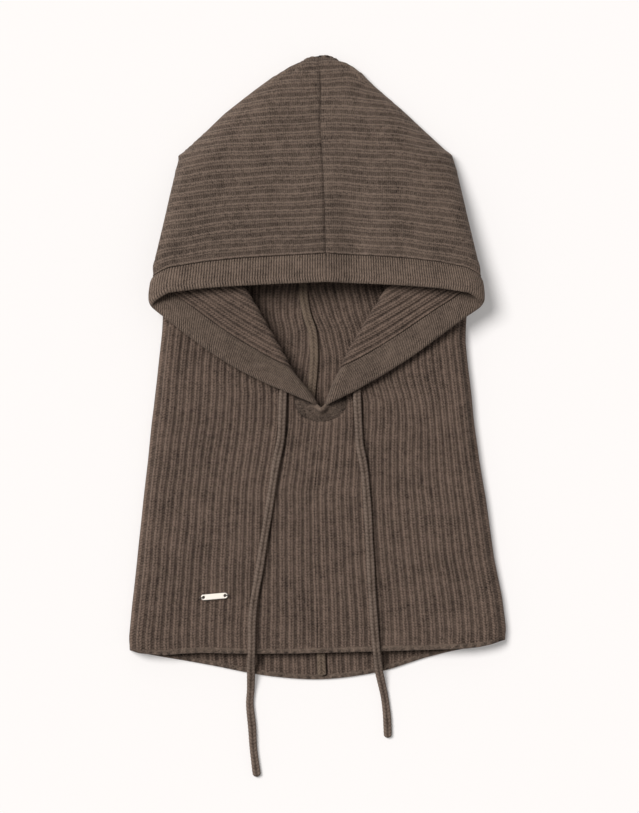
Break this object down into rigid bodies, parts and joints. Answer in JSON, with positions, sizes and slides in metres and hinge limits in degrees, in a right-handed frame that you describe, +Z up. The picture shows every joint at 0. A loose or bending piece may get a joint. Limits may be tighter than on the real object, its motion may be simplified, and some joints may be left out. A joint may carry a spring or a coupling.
{
  "type": "snood hood",
  "caption": "Ribbed knitted hood with a long neck tube, folded lapels, a plain face band and a drawcord, lying flat.",
  "frame": {"origin": "middle of the hood's length and width on the surface that it lies on", "axes": "+Y from the hem to the point of the hood, +X to the right of someone who looks down on it, +Z up"},
  "size_m": [0.301, 0.5789, 0.0286],
  "materials": {
    "ribbed_knit": "heathered ribbed wool knit, matt",
    "plain_knit": "heathered plain wool knit, matt",
    "cord_knit": "flat knitted wool cord, matt",
    "pale_metal": "polished pale metal"
  },
  "bodies": {
    "root": {"back_panel": "ribbed_knit", "front_panel": "ribbed_knit", "crown_left": "ribbed_knit", "crown_right": "ribbed_knit", "face_band": "plain_knit", "back_seam": "plain_knit", "cord_left": "cord_knit", "cord_right": "cord_knit", "metal_bar": "pale_metal", "bar_stitch_left": "cord_knit", "bar_stitch_right": "cord_knit"}
  },
  "joints": []
}
